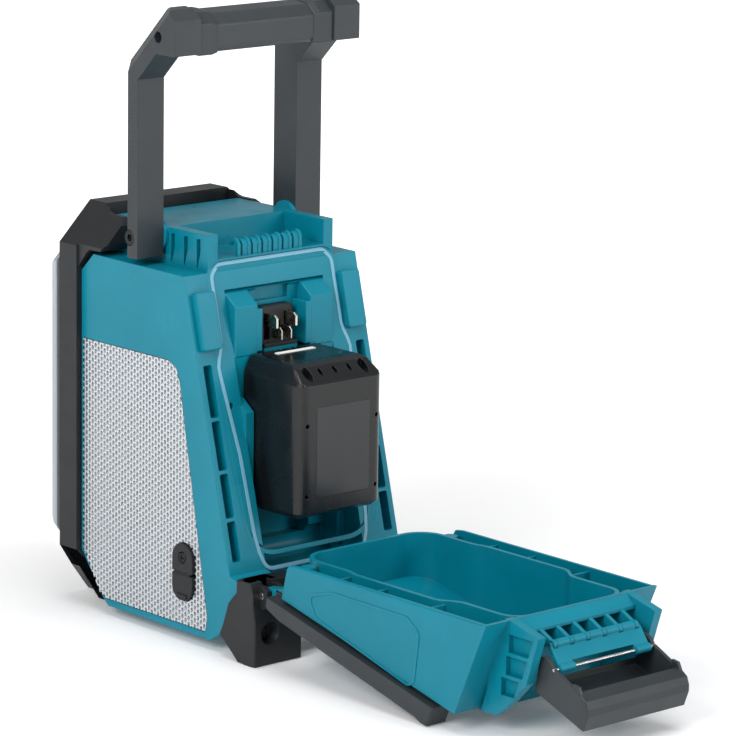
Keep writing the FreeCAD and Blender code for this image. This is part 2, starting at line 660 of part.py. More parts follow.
def floor_z(y, lift=0.0):
    return 52.3 - (y - 126.0) * (52.3 - 12.9) / (295.6 - 126.0) + lift


def tub(d, lift):
    base = Part.Face(tub_points(d))
    block = base.extrude(V(0, 0, -90))
    if d:
        block = fuse([block, base.extrude(V(0, 0, 1.0))])
    deep, shallow = POCKET_END_Y, POCKET_END_Y + 11
    lean = (DOOR_END_Y - 295.6) / (RIM_Z - 12.9)
    y_end = 295.6 - d
    keep = prism_x([(116, 95), (116, floor_z(116, lift)), (deep, floor_z(deep, lift)),
                    (shallow, floor_z(shallow, lift + POCKET_STEP)),
                    (y_end - lean, floor_z(y_end, lift + POCKET_STEP)), (y_end, 12.9),
                    (y_end + lean * (95 - 12.9), 95)], -70, 70)
    return block.common(keep)


def side_wall():
    wall = prism_x([(139, RIM_Z), (133, 76.5), (131, 73.3), (126, 52.3), (295.6, 12.9), (DOOR_END_Y, RIM_Z)],
                   HALF_W - WALL, HALF_W)
    wall = soften(wall, 1.2, lambda e, m: m.x > HALF_W - 0.1 and m.z > RIM_Z - 0.5)
    end = prism_x([(DOOR_END_Y - 3, RIM_Z), (293.0, 14), (295.6, 12.9), (DOOR_END_Y, RIM_Z)], TUB_NARROW - 1, HALF_W)
    ribs = [prism_x([(y, RIM_Z - 2.5), (y, floor_z(y, 10)), (y + 2, floor_z(y, 10)), (y + 2, RIM_Z - 2.5)],
                    TUB_HALF - 12, HALF_W - 1) for y in (174.0, 211.0, 262.0)]
    under = prism_x([(126, 52.3), (128, 55), (296, 16), (295.6, 12.9)], 50, HALF_W - 1)
    return [wall, end, under] + ribs


def cheek():
    out = [(318, RIM_Z), (DOOR_END_Y, RIM_Z), (327, 76.2), (349, 70.6), (339, 38.3), (322, 20), (312, 12), (298, 12)]
    s = prism_x(out, CHEEK_IN, CHEEK_OUT)
    hollow = []
    for a, b in (((322, 68), (340, 56)), ((320, 53.5), (335, 41)), ((316, 38.5), (328, 27))):
        hollow.append(prism_x([(a[0], a[1]), (a[0], b[1]), (b[0], b[1]), (b[0] + 4, a[1])], CHEEK_IN + 2.4, CHEEK_OUT + 1))
    return cut(s, hollow)


def knuckle_ribs():
    out = []
    n = 6
    pitch = (2 * 38.0 - 3) / (n - 1)
    for i in range(n):
        x = -38.0 + i * pitch
        tri = prism_x([(DOOR_END_Y - 1, 74.5), (LINK_Y - 1, LINK_Z + 2.4), (LINK_Y - 1, LINK_Z - 2.0), (DOOR_END_Y - 9, 57)], x, x + 3)
        knob = rod(BARREL_R, (x, LINK_Y, LINK_Z), (x + 3, LINK_Y, LINK_Z))
        out += [tri, knob]
    return out, pitch


def door_shell():
    outer = tub(0, -POCKET_DEEP)
    walls = side_wall()
    s = fuse([outer] + walls + [mirror(w) for w in walls])
    end = prism_x([(DOOR_END_Y - 3.2, RIM_Z), (DOOR_END_Y, RIM_Z), (DOOR_END_Y - 27.5, 12.9), (DOOR_END_Y - 30.5, 12.9)],
                  -TUB_HALF, TUB_HALF)
    ribs, pitch = knuckle_ribs()
    ck = cheek()
    x0 = HALF_W - 13.6
    arm = prism_x([(HINGE_Y, HINGE_Z + 5), (140, 60), (140, floor_z(140)), (113.4, floor_z(113.4)),
                   (113.4, HINGE_Z - 3), (HINGE_Y, HINGE_Z - 5)], x0, x0 + 7.8)
    arms = both(fuse([arm, rod(5.2, (x0, HINGE_Y, HINGE_Z), (x0 + 7.8, HINGE_Y, HINGE_Z))]))
    boss = rod(5, (TUB_HALF + 4, 138.4, 56), (TUB_HALF + 4, 138.4, 75.3))
    s = fuse([s, end] + ribs + both(ck) + arms + both(boss))
    s = s.cut(tub(WALL, WALL - POCKET_DEEP))
    cuts = [rod(PIN_R + FIT, (t * (HALF_W - 22), HINGE_Y, HINGE_Z), (t * (HALF_W + 3), HINGE_Y, HINGE_Z)) for t in (1, -1)]
    cuts.append(rod(1.2 + FIT, (-48, LINK_Y, LINK_Z), (48, LINK_Y, LINK_Z)))
    return cut(s, cuts)


RAIL_OFF = 4.0
RAIL_PROUD = 4.5


def door_rail():
    a = [(116.0, 56.5), (114.5, 44.0), (128, 38.0), (262, 3.9), (268, 1.2), (274, 0.4), (279, 12.0), (279.5, 14.3)]
    x0, x1 = TUB_HALF + RAIL_OFF, HALF_W + RAIL_PROUD
    s = prism_x(a, x0, x1)
    s = soften(s, 1.2, lambda e, m: m.x > x1 - 0.1)
    seat = prism_x([(110, 70), (110, floor_z(110, -GAP)), (300, floor_z(300, -GAP)), (300, 70)], x0 - 1, x1 + 1)
    groove = prism_x([(110, 70), (110, floor_z(110, -2.8)), (300, floor_z(300, -2.8)), (300, 70)], HALF_W - 4, x1 + 1)
    return cut(s, [seat, groove])


def link_pin():
    return rod(1.2, (-39.5, LINK_Y, LINK_Z), (39.5, LINK_Y, LINK_Z))


def latch_link():
    dy, dz = BAR_Y - LINK_Y, BAR_Z - LINK_Z
    ln = math.hypot(dy, dz)
    uy, uz = dy / ln, dz / ln
    ny, nz = -uz, uy
    t = 1.1
    plate = prism_x([(LINK_Y + ny * t, LINK_Z + nz * t), (LINK_Y - ny * t, LINK_Z - nz * t),
                     (BAR_Y - ny * t, BAR_Z - nz * t), (BAR_Y + ny * t, BAR_Z + nz * t)], -LINK_HALF, LINK_HALF)
    top = [rod(BARREL_R, (-35.0, LINK_Y, LINK_Z), (35.0, LINK_Y, LINK_Z))]
    low = both(rod(BARREL_R, (27.8, BAR_Y, BAR_Z), (LINK_HALF, BAR_Y, BAR_Z)))
    s = fuse([plate] + top + low)
    cuts = [box(-27.6, BAR_Y - 4.2, BAR_Z - 4, 27.6, BAR_Y + 5, BAR_Z + 3.6)]
    ribs, pitch = knuckle_ribs()
    for i in range(6):
        x = -38.0 + i * pitch
        cuts.append(rod(BARREL_R + 0.45, (x - 0.4, LINK_Y, LINK_Z), (x + 3.4, LINK_Y, LINK_Z)))
    cuts += [rod(1.2 + FIT, (-50, LINK_Y, LINK_Z), (50, LINK_Y, LINK_Z)),
             rod(BAR_R + FIT, (-50, BAR_Y, BAR_Z), (50, BAR_Y, BAR_Z))]
    return cut(s, cuts)


def latch_bar():
    return rod(BAR_R, (-LEVER_HALF + 0.6, BAR_Y, BAR_Z), (LEVER_HALF - 0.6, BAR_Y, BAR_Z))


def latch_lever():
    prof = [(341.5, 55.6), (339.6, 47), (337.0, 32.3), (380.8, 15.9), (384.6, 26), (384.6, 30.4), (382.6, 35.6),
            (378.0, 38.6), (352.6, 50.6), (350, 54.0), (345, 56.5)]
    s = prism_x(prof, -LEVER_HALF, LEVER_HALF)
    s = soften(s, 0.8, lambda e, m: abs(abs(m.x) - LEVER_HALF) < 0.05 and m.y > 360 and m.z < 38)
    inner = prism_x([(330, 70), (336, 50), (338.8, 34.6), (378.6, 19.6), (381.6, 26.6), (381.4, 30.2), (379.4, 34.0),
                     (377.0, 35.8), (373, 44), (360, 70)], -LEVER_HALF + 2.6, LEVER_HALF - 2.6)
    s = s.cut(inner)
    lug = prism_x([(371.0, 41), (370, 44.2), (375.5, 43.4), (378, 38.4)], LEVER_HALF - 2.6, LEVER_HALF - 0.2)
    s = fuse([s] + both(lug))
    return cut(s, [rod(BAR_R + FIT, (-60, BAR_Y, BAR_Z), (60, BAR_Y, BAR_Z))])


# handle
def arm_profile():
    k = ARM_DEEP * math.tan(math.radians(22.5))
    run = 19.7
    y0 = ARM_BACK_Y - ARM_DEEP
    return [(y0, ARM_LOW + HEEL), (y0, ARM_BEND_Z + k), (-7.0, ARM_BEND_Z + k + (-7.0 - y0)), (0, 434.5),
            (8, 433.5), (CAP_BACK_Y, 427.2), (CAP_BACK_Y, ARM_BEND_Z + run), (ARM_BACK_Y + run, ARM_BEND_Z + run),
            (ARM_BACK_Y, ARM_BEND_Z), (ARM_BACK_Y, ARM_LOW), (y0 + HEEL, ARM_LOW)]


def handle_arm():
    x0, x1 = ARM_OUT - ARM_W, ARM_OUT
    s = prism_x(arm_profile(), x0, x1)
    c = 13.5
    y0 = ARM_BACK_Y - ARM_DEEP
    k = ARM_DEEP * math.tan(math.radians(22.5))
    z1 = ARM_BEND_Z + k
    low = prism_z([(x1 + 1, y0 - 1), (x1 + 1, y0 + c + 1), (x1 - c - 1, y0 - 1)], ARM_LOW - 1, z1 + 40)
    n = V(0, -1, 1)
    n.normalize()
    a = V(x1 + 1, y0, z1).add(V(n).multiply(1)).sub(V(0, 30, 30))
    b = V(x1 + 1, y0, z1).sub(V(n).multiply(c + 1)).sub(V(0, 30, 30))
    e = V(x1 - c - 1, y0, z1).add(V(n).multiply(1)).sub(V(0, 30, 30))
    up = Part.Face(Part.makePolygon([a, b, e, a])).extrude(V(0, 90, 90))
    lower_half = prism_x([(-200, 0), (-200, z1 + (200 + y0) * math.tan(math.radians(22.5))),
                          (y0, z1), (60, z1 - (60 - y0) * math.tan(math.radians(22.5))), (60, 0)], -10, 200)
    low = low.common(lower_half)
    up = up.cut(lower_half)
    s = s.cut(low).cut(up)
    seat = box(x0 - 1, -7.5, 409, x0 + 4.3, 6.5, 421)
    hole = rod(PIVOT_R + FIT, (x0 - 1, PIVOT_Y, PIVOT_Z), (x1 + 1, PIVOT_Y, PIVOT_Z))
    sink = rod(5.6, (x1 - 3.2, PIVOT_Y, PIVOT_Z), (x1 + 1, PIVOT_Y, PIVOT_Z))
    y, z = GRIP_SCREW
    well = [rod(3.9, (x1 - 8.7, y, z), (x1 + 1, y, z)), rod(SCREW_R + FIT, (x0, y, z), (x1, y, z))]
    return cut(s, [hole, sink, seat] + well)


def grip_section(d):
    return [V(0, -14 + d, 403 + d), V(0, 14 - d, 403 + d), V(0, 14 - d, 422 - d), V(0, 7 - d, 429 - d),
            V(0, -9 + d, 431 - d), V(0, -15 + d, 424 - d)]


def handle_grip():
    x = ARM_OUT - ARM_W - GAP
    w = rounded([p.add(V(-x, 0, 0)) for p in grip_section(0)], [5, 5, 4, 4, 5, 5])
    s = Part.Face(w).extrude(V(2 * x, 0, 0))
    return s.cut(grip_core_solid(0.0))


def grip_core_solid(extra):
    return box(-ARM_OUT + ARM_W / 2, -7.5, 409, ARM_OUT - ARM_W / 2, 6.5, 421)


def grip_core():
    s = box(-ARM_OUT + ARM_W - 4 + GAP, -7.2, 409.3, ARM_OUT - ARM_W + 4 - GAP, 6.2, 420.7)
    y, z = GRIP_SCREW
    return s.cut(rod(SCREW_R + FIT, (-ARM_OUT, y, z), (ARM_OUT, y, z)))


def handle_bolts():
    return Part.makeCompound([bolt(t) for t in (1, -1)])


def bolt(t):
    head = rod(5.2, (t * (ARM_OUT - 3.0), PIVOT_Y, PIVOT_Z), (t * (ARM_OUT - 0.4), PIVOT_Y, PIVOT_Z))
    shank = rod(PIVOT_R, (t * (ARM_OUT - 3.0), PIVOT_Y, PIVOT_Z), (t * (TRAY_HALF - 5), PIVOT_Y, PIVOT_Z))
    hexa = prism_x([(PIVOT_Y + 2.6 * math.cos(math.pi / 3 * i), PIVOT_Z + 2.6 * math.sin(math.pi / 3 * i)) for i in range(6)],
                   t * (ARM_OUT - 2.2), t * ARM_OUT)
    return fuse([head, shank]).cut(hexa)


def grip_screws():
    y, z = GRIP_SCREW
    return Part.makeCompound([pan_screw((t * (ARM_OUT - 8.6), y, z), (t, 0, 0), 3.3, SCREW_R, 2.0, 15)
                              for t in (1, -1)])


NODES = {
    "rear_housing": rear_housing, "gasket": gasket, "front_bumper": front_bumper, "front_trim": front_trim,
    "front_panel": front_panel, "display_lens": display_lens, "display_module": display_module,
    "tuning_knob": tuning_knob, "tuning_encoder": tuning_encoder, "tweeter_guards": tweeter_guards,
    "tweeters": tweeters, "main_board": main_board,
    "side_grille_right": port_side_grille, "side_grille_left": lambda: mirror(side_grille()),
    "woofer_frame_right": woofer, "woofer_frame_left": lambda: mirror(woofer()),
    "woofer_cone_right": woofer_cone, "woofer_cone_left": lambda: mirror(woofer_cone()),
    "woofer_magnets": lambda: Part.makeCompound(both(woofer_magnet())),
    "usb_cover": usb_cover, "usb_cover_pad": usb_pad, "usb_screw": usb_screw,
    "port_sockets": lambda: Part.makeCompound(port_block()),
    "battery_case": pack_case, "battery_guard": pack_guard, "battery_button": pack_button,
    "battery_screws": pack_screws, "terminal_block": terminal_block, "terminal_blades": terminal_blades,
    "rear_foot": rear_foot, "foot_bolts": foot_bolts, "hinge_pins": hinge_pins,
    "door_shell": door_shell, "door_rail_right": door_rail, "door_rail_left": lambda: mirror(door_rail()),
    "link_pin": link_pin, "latch_link": latch_link, "latch_bar": latch_bar, "latch_lever": latch_lever,
    "handle_arm_right": handle_arm, "handle_arm_left": lambda: mirror(handle_arm()),
    "handle_grip": handle_grip, "grip_core": grip_core, "handle_bolts": handle_bolts,
    "grip_screws": grip_screws,
}
for i, x in enumerate(BUTTON_X):
    NODES["panel_button_%d" % (i + 1)] = lambda x=x: panel_button(x)


def main():
    os.makedirs("parts", exist_ok=True)
    for name, make in NODES.items():
        s = make()
        if s.ShapeType == "Compound" and len(s.Solids) == 1:
            s = s.Solids[0]
        s.translate(V(0, -MIDDLE_Y, 0))
        print(name, len(s.Solids), s.isValid(), round(s.Volume / 1000, 1),
              [round(v) for v in (s.BoundBox.XMin, s.BoundBox.XMax, s.BoundBox.YMin, s.BoundBox.YMax,
                                  s.BoundBox.ZMin, s.BoundBox.ZMax)])
        s.exportStep("parts/%s.step" % name)


main()
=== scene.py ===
import bmesh
import bpy
import math
from mathutils import Matrix, Vector


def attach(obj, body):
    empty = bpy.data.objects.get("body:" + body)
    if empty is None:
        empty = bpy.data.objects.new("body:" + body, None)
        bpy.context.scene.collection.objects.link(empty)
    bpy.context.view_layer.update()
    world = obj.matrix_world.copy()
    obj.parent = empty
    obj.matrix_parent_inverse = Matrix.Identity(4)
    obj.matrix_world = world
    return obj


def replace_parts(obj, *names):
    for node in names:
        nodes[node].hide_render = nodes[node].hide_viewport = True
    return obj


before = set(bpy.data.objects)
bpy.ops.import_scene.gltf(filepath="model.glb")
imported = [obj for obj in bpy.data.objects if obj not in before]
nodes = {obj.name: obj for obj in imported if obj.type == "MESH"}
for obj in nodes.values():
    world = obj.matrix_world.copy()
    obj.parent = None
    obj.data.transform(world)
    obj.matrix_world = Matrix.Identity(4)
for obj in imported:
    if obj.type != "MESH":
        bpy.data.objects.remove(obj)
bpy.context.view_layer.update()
MIDDLE_Y = 128.8  # the part's footprint is centred on this y, in mm


def at(x, y, z):
    """Millimetres in part.py's own axes to the frame's metres."""
    return Vector((x / 1000, y / 1000 - MIDDLE_Y / 1000, z / 1000))


def linear(r, g, b):
    """Screen colour, 0 to 255, to the linear values that shaders take."""
    def f(c):
        c /= 255
        return c / 12.92 if c <= 0.04045 else ((c + 0.055) / 1.055) ** 2.4
    return (f(r), f(g), f(b), 1)


class Nodes:
    """A material under construction, with short calls for the usual shader nodes."""
    def __init__(self, name):
        self.mat = bpy.data.materials.new(name)
        self.mat.use_nodes = True
        self.tree = self.mat.node_tree
        self.bsdf = self.tree.nodes["Principled BSDF"]
        self.out = self.tree.nodes["Material Output"]
        self.coord = self.new("ShaderNodeTexCoord").outputs["Object"]

    def new(self, kind, **values):
        n = self.tree.nodes.new(kind)
        for k, v in values.items():
            setattr(n, k, v)
        return n

    def link(self, a, b):
        self.tree.links.new(a, b)

    def math(self, op, a, b=0.0, c=None):
        n = self.new("ShaderNodeMath", operation=op)
        for i, v in enumerate((a, b, c)):
            if v is None:
                continue
            if isinstance(v, (int, float)):
                n.inputs[i].default_value = v
            else:
                self.link(v, n.inputs[i])
        return n.outputs[0]

    def noise(self, scale, detail=2.0, rough=0.5, coord=None):
        n = self.new("ShaderNodeTexNoise")
        n.inputs["Scale"].default_value = scale
        n.inputs["Detail"].default_value = detail
        n.inputs["Roughness"].default_value = rough
        self.link(coord or self.coord, n.inputs["Vector"])
        return n.outputs["Fac"]

    def ramp(self, fac, lo, hi, a, b):
        n = self.new("ShaderNodeMapRange")
        n.inputs["From Min"].default_value = lo
        n.inputs["From Max"].default_value = hi
        n.inputs["To Min"].default_value = a
        n.inputs["To Max"].default_value = b
        self.link(fac, n.inputs["Value"])
        return n.outputs["Result"]

    def mix(self, fac, a, b):
        n = self.new("ShaderNodeMix", data_type="RGBA")
        for s, v in ((n.inputs["Factor"], fac), (n.inputs["A"], a), (n.inputs["B"], b)):
            if isinstance(v, (int, float, tuple)):
                s.default_value = v
            else:
                self.link(v, s)
        return n.outputs["Result"]

    def bump(self, height, strength, distance, normal=None):
        n = self.new("ShaderNodeBump")
        n.inputs["Strength"].default_value = strength
        n.inputs["Distance"].default_value = distance
        self.link(height, n.inputs["Height"])
        if normal is not None:
            self.link(normal, n.inputs["Normal"])
        return n.outputs["Normal"]

    def round_edge(self, radius):
        n = self.new("ShaderNodeBevel", samples=6)
        n.inputs["Radius"].default_value = radius
        return n.outputs["Normal"]

    def separate(self):
        n = self.new("ShaderNodeSeparateXYZ")
        self.link(self.coord, n.inputs[0])
        return n.outputs


def plastic(name, rgb, rough=0.42, grain=1600, depth=0.00003, strength=0.35, edge=0.0006,
            vary=0.08, metallic=0.0, spec=0.5, edge_highlight=0.12):
    """Moulded or painted surface: slow colour drift, fine grain, and a painted highlight that makes sharp edges
    paler.
    """
    m = Nodes(name)
    base = linear(*rgb)
    slow = m.noise(22, 3)
    dark = tuple(c * (1 - vary) for c in base[:3]) + (1,)
    pale = tuple(min(1, c * (1 + vary)) for c in base[:3]) + (1,)
    col = m.mix(m.ramp(slow, 0.35, 0.65, 0, 1), dark, pale)
    geo = m.new("ShaderNodeNewGeometry")
    # painted highlight: sharp convex edges, found by pointiness, are mixed toward a paler colour
    edge_highlight_mask = m.ramp(geo.outputs["Pointiness"], 0.52, 0.6, 0, edge_highlight)
    col = m.mix(edge_highlight_mask, col, tuple(min(1, c * 1.5 + 0.03) for c in base[:3]) + (1,))
    m.link(col, m.bsdf.inputs["Base Color"])
    fine = m.noise(grain, 2, 0.6)
    m.link(m.ramp(m.noise(60, 4), 0.3, 0.7, rough - 0.05, rough + 0.05), m.bsdf.inputs["Roughness"])
    m.link(m.bump(fine, strength, depth, m.round_edge(edge)), m.bsdf.inputs["Normal"])
    m.bsdf.inputs["Metallic"].default_value = metallic
    m.bsdf.inputs["Specular IOR Level"].default_value = spec
    return m.mat


def metal(name, rgb, rough=0.3, edge=0.0003, scratch=700, stretch=(1, 1, 1)):
    """Bare metal with brushed lines."""
    m = Nodes(name)
    mapping = m.new("ShaderNodeMapping")
    mapping.inputs["Scale"].default_value = stretch
    m.link(m.coord, mapping.inputs["Vector"])
    lines = m.noise(scratch, 4, 0.7, mapping.outputs["Vector"])
    base = linear(*rgb)
    m.link(m.mix(lines, tuple(c * 0.85 for c in base[:3]) + (1,), base), m.bsdf.inputs["Base Color"])
    m.link(m.ramp(lines, 0.3, 0.7, rough - 0.07, rough + 0.1), m.bsdf.inputs["Roughness"])
    m.link(m.bump(lines, 0.2, 0.00002, m.round_edge(edge)), m.bsdf.inputs["Normal"])
    m.bsdf.inputs["Metallic"].default_value = 1.0
    return m.mat


# whole pitches added before FRACT, so that the pattern never meets a negative number
ALWAYS_POSITIVE = 40


def perforated(name, axes, pitch, row, radius, straight, rgb):
    """Sheet with upright round-ended holes in staggered columns; sight and light pass through."""
    m = Nodes(name)
    xyz = m.separate()
    a, b = (xyz[i] for i in axes)

    def centred(length, step, shift):
        turns = m.math("ADD", m.math("DIVIDE", length, step), ALWAYS_POSITIVE + shift)
        return m.math("SUBTRACT", m.math("FRACT", turns), 0.5)

    def cell(shift_a, shift_b):
        u = centred(a, 2 * pitch, shift_a)
        v = centred(b, row, shift_b)
        u = m.math("MULTIPLY", u, 2 * pitch)
        v = m.math("MULTIPLY", v, row)
        v = m.math("MAXIMUM", m.math("SUBTRACT", m.math("ABSOLUTE", v), straight), 0.0)
        return m.math("SQRT", m.math("ADD", m.math("MULTIPLY", u, u), m.math("MULTIPLY", v, v)))
    d = m.math("MINIMUM", cell(0.0, 0.0), cell(0.5, 0.5))
    hole = m.ramp(d, radius - 0.00006, radius + 0.00006, 0, 1)
    dish = m.ramp(d, radius, radius * 1.35, 0, 1)
    base = linear(*rgb)
    fleck = m.noise(500, 2)
    m.link(m.mix(fleck, tuple(c * 0.92 for c in base[:3]) + (1,), base), m.bsdf.inputs["Base Color"])
    m.bsdf.inputs["Metallic"].default_value = 0.6
    m.link(m.ramp(fleck, 0.3, 0.7, 0.3, 0.4), m.bsdf.inputs["Roughness"])
    m.link(m.bump(dish, 0.6, 0.0003, m.round_edge(0.0004)), m.bsdf.inputs["Normal"])
    clear = m.new("ShaderNodeBsdfTransparent")
    mix = m.new("ShaderNodeMixShader")
    m.link(hole, mix.inputs[0])
    m.link(clear.outputs[0], mix.inputs[1])
    m.link(m.bsdf.outputs[0], mix.inputs[2])
    m.link(mix.outputs[0], m.out.inputs["Surface"])
    return m.mat


TEAL = plastic("teal_plastic", (0, 116, 136), rough=0.32, vary=0.05, spec=0.22)
CHARCOAL = plastic("charcoal_plastic", (42, 47, 50), rough=0.42, grain=1300, strength=0.5, spec=0.35)
BLACK = plastic("black_plastic", (25, 27, 30), rough=0.4, grain=1300, strength=0.5, spec=0.3)
PACK = plastic("pack_plastic", (12, 14, 16), rough=0.26, grain=1500, strength=0.25, spec=0.38)
KEY = plastic("key_rubber", (50, 52, 55), rough=0.6, spec=0.3)
SILVER = plastic("silver_paint", (150, 158, 163), rough=0.34, metallic=0.3, vary=0.03)
RUBBER = plastic("seal_rubber", (104, 158, 180), rough=0.45, grain=900, spec=0.4)
COVER = plastic("cover_rubber", (26, 28, 31), rough=0.55, grain=900, spec=0.3)
STEEL = metal("plated_steel", (215, 216, 218), 0.2, stretch=(0.15, 1, 1))
DARK_STEEL = metal("black_steel", (52, 54, 56), 0.32)
BLADE = metal("terminal_steel", (205, 198, 185), 0.25)
LENS = plastic("window_plastic", (12, 16, 18), rough=0.1, strength=0.05, edge=0.0004)
SCREEN = plastic("screen_glass", (40, 48, 46), rough=0.2, strength=0.05)
CONE = plastic("cone_paper", (70, 74, 76), rough=0.7, grain=700, strength=0.8, spec=0.3)
BOARD = plastic("board_green", (18, 92, 58), rough=0.3, grain=400)
STRIP = plastic("pale_strip", (232, 232, 228), rough=0.5)
GRILLE = perforated("grille_sheet", (1, 2), 0.00333, 0.0044, 0.00102, 0.0006, (206, 210, 214))
PLATE = plastic("pack_back_plate", (22, 24, 27), rough=0.2, strength=0.1, spec=0.5)
GUARD = perforated("guard_sheet", (0, 2), 0.003, 0.0052, 0.00095, 0.0, (60, 62, 64))

LOOK = {
    TEAL: "rear_housing door_shell latch_link",
    CHARCOAL: "handle_arm_right handle_arm_left handle_grip door_rail_right door_rail_left latch_lever "
              "tuning_knob",
    BLACK: "front_bumper rear_foot front_panel terminal_block woofer_frame_right woofer_frame_left tweeters",
    PACK: "battery_case battery_button",
    SILVER: "front_trim",
    RUBBER: "gasket",
    COVER: "usb_cover usb_cover_pad",
    STEEL: "latch_bar link_pin port_sockets tuning_encoder grip_core hinge_pins",
    DARK_STEEL: "usb_screw foot_bolts handle_bolts grip_screws battery_screws woofer_magnets",
    BLADE: "terminal_blades",
    LENS: "display_lens",
    SCREEN: "display_module",
    CONE: "woofer_cone_right woofer_cone_left",
    BOARD: "main_board",
    STRIP: "battery_guard",
    GRILLE: "side_grille_right side_grille_left",
    GUARD: "tweeter_guards",
    KEY: " ".join("panel_button_%d" % i for i in range(1, 7)),
}
for material, names in LOOK.items():
    for n in names.split():
        o = nodes[n]
        o.data.materials.clear()
        o.data.materials.append(material)

# the body's sloping rear flange, from its top edge, in part.py's millimetres
LEAN = math.radians(14.18)
SLOPE_TOP_Y = 22.1
SLOPE_TOP_Z = 254.6
# edges between faces turned by more than this, in radians, are rounded
SHARP = 0.5
SIDES = ((1, "right"), (-1, "left"))

# silver surround and the black frame behind it
OCTAGON_LOW_RATIO = 0.75
TRIM_BACK_Y = -112.8
TRIM_SHOULDER_Y = -119.5
TRIM_TIP_Y = -125.9
TRIM_THROAT_Y = -121
TRIM_THROAT = (67, 252, 33, 22, 26)
BUMPER_HALF = 81.5
CORNER_CUT_Z = 42
CORNER_CUT_X = 54

# battery bay
SEAL_HALF_WIDTH = 1.35
SEAL_PROUD = 0.34
POST_IN, POST_OUT = 23.8, 44
POST_STEP_IN, POST_STEP_OUT = 19.6, 24.6
POST_ROOT_Y, POST_FACE_Y = 20, 36.6
POST_LOW_Z = 196
PAD_PROUD = 5.4

# battery pack
PACK_HALF = 37.5
PACK_FRONT_Y = 37.6
PACK_BACK_Y = 97.9
PACK_LOW_Z = 93.0
PACK_TOP_Z = 198.0

# rear foot, handle and door
HEEL_IN, HEEL_OUT = 40.0, 81.6
BOLT_X, BOLT_Z = 68.5, 22.4
SIDE_FACE_IN, SIDE_FACE_OUT = 76.6, 77.5
WEB_HALF = 49


def on_slope(x, t, h):
    """Point on the flange: t down the slope, h out of it, in mm."""
    return at(x, SLOPE_TOP_Y + t * math.sin(LEAN) + h * math.cos(LEAN),
              SLOPE_TOP_Z - t * math.cos(LEAN) + h * math.sin(LEAN))


def skin(rings, closed=False):
    """Faces between rings of points. A closed run joins last to first, else both ends are capped."""
    bm = bmesh.new()
    rows = [[bm.verts.new(p) for p in ring] for ring in rings]
    n = len(rows[0])
    for a, b in zip(rows, rows[1:] + (rows[:1] if closed else [])):
        for i in range(n):
            bm.faces.new((a[i], a[(i + 1) % n], b[(i + 1) % n], b[i]))
    if not closed:
        bm.faces.new(rows[0][::-1])
        bm.faces.new(rows[-1])
    bmesh.ops.recalc_face_normals(bm, faces=bm.faces)
    return bm


def round_off(bm, offset, segments, sharp=SHARP):
    edges = [e for e in bm.edges if e.calc_face_angle(0) > sharp]
    bmesh.ops.bevel(bm, geom=edges, offset=offset / 1000, segments=segments, profile=0.5,
                    affect="EDGES", clamp_overlap=True)


def show(bm, name, body=None, material=None):
    mesh = bpy.data.meshes.new(name)
    bm.to_mesh(mesh)
    bm.free()
    if material:
        mesh.materials.append(material)
    o = bpy.data.objects.new(name, mesh)
    bpy.context.collection.objects.link(o)
    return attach(o, body) if body else o


def solid(name, rings, body, material, bevel=0.0):
    """Closed piece on a body, with its sharp edges rounded by bevel, in mm."""
    bm = skin(rings)
    if bevel:
        round_off(bm, bevel, 2)
    return show(bm, name, body, material)


def tool(rings):
    """Cutter for carve, which removes it."""
    return show(skin(rings), "tool")


def carve(o, cutters):
    for c in cutters:
        m = o.modifiers.new("cut", "BOOLEAN")
        m.operation = "DIFFERENCE"
        m.solver = "EXACT"
        m.object = c
    bpy.context.view_layer.update()
    mesh = bpy.data.meshes.new_from_object(o.evaluated_get(bpy.context.evaluated_depsgraph_get()))
    o.modifiers.clear()
    o.data = mesh
    for c in cutters:
        bpy.data.objects.remove(c)
    return o


def across_x(pts, a, b):
    return [[at(x, y, z) for y, z in pts] for x in (a, b)]


def across_z(pts, a, b):
    return [[at(x, y, z) for x, y in pts] for z in (a, b)]


def facing_y(pts, y):
    return [at(x, y, z) for x, z in pts]


def oblong(x, z, rx, rz, n):
    """Round or oval outline seen along y."""
    return [(x + rx * math.cos(2 * math.pi * i / n), z + rz * math.sin(2 * math.pi * i / n)) for i in range(n)]


def disc(x, y, z, r, n=24):
    return facing_y(oblong(x, z, r, r, n), y)


def square(x0, x1, y0, y1):
    return [(x0, y0), (x1, y0), (x1, y1), (x0, y1)]


def octagon(half, top, low, ch, ch_low):
    foot = half - ch_low * OCTAGON_LOW_RATIO
    return [(-half, low + ch_low), (-half, top - ch), (-half + ch, top), (half - ch, top), (half, top - ch),
            (half, low + ch_low), (foot, low), (-foot, low)]


def smooth_path(pts, radii, steps=8):
    """Closed outline with its corners rounded; a radius of 0 keeps the corner."""
    out = []
    n = len(pts)
    for i in range(n):
        p, r = Vector(pts[i]), radii[i]
        before, after = Vector(pts[i - 1]) - p, Vector(pts[(i + 1) % n]) - p
        a, b = before.normalized(), after.normalized()
        if r <= 0:
            out.append(tuple(p))
            continue
        half = a.angle(b) / 2
        s = min(r / math.tan(half), 0.48 * min(before.length, after.length))
        for k in range(steps + 1):
            t = k / steps
            q = (1 - t) ** 2 * (p + a * s) + 2 * t * (1 - t) * p + t * t * (p + b * s)
            out.append(tuple(q))
    return out


def offset_path(pts, d):
    """The outline moved inward by d."""
    n = len(pts)
    area2 = sum(pts[i - 1][0] * pts[i][1] - pts[i][0] * pts[i - 1][1] for i in range(n))
    sign = 1 if area2 > 0 else -1
    out = []
    for i in range(n):
        a, b = Vector(pts[i - 1]), Vector(pts[(i + 1) % n])
        t = (b - a).normalized()
        out.append((pts[i][0] - sign * t.y * d, pts[i][1] + sign * t.x * d))
    return out


def band(name, outer, inner, h0, h1, body, material):
    """Ring lying on the flange between two outlines with equally many points."""
    loops = [[on_slope(x, t, h) for x, t in path]
             for path, h in ((outer, h0), (outer, h1), (inner, h1), (inner, h0))]
    return show(skin(loops, closed=True), name, body, material)


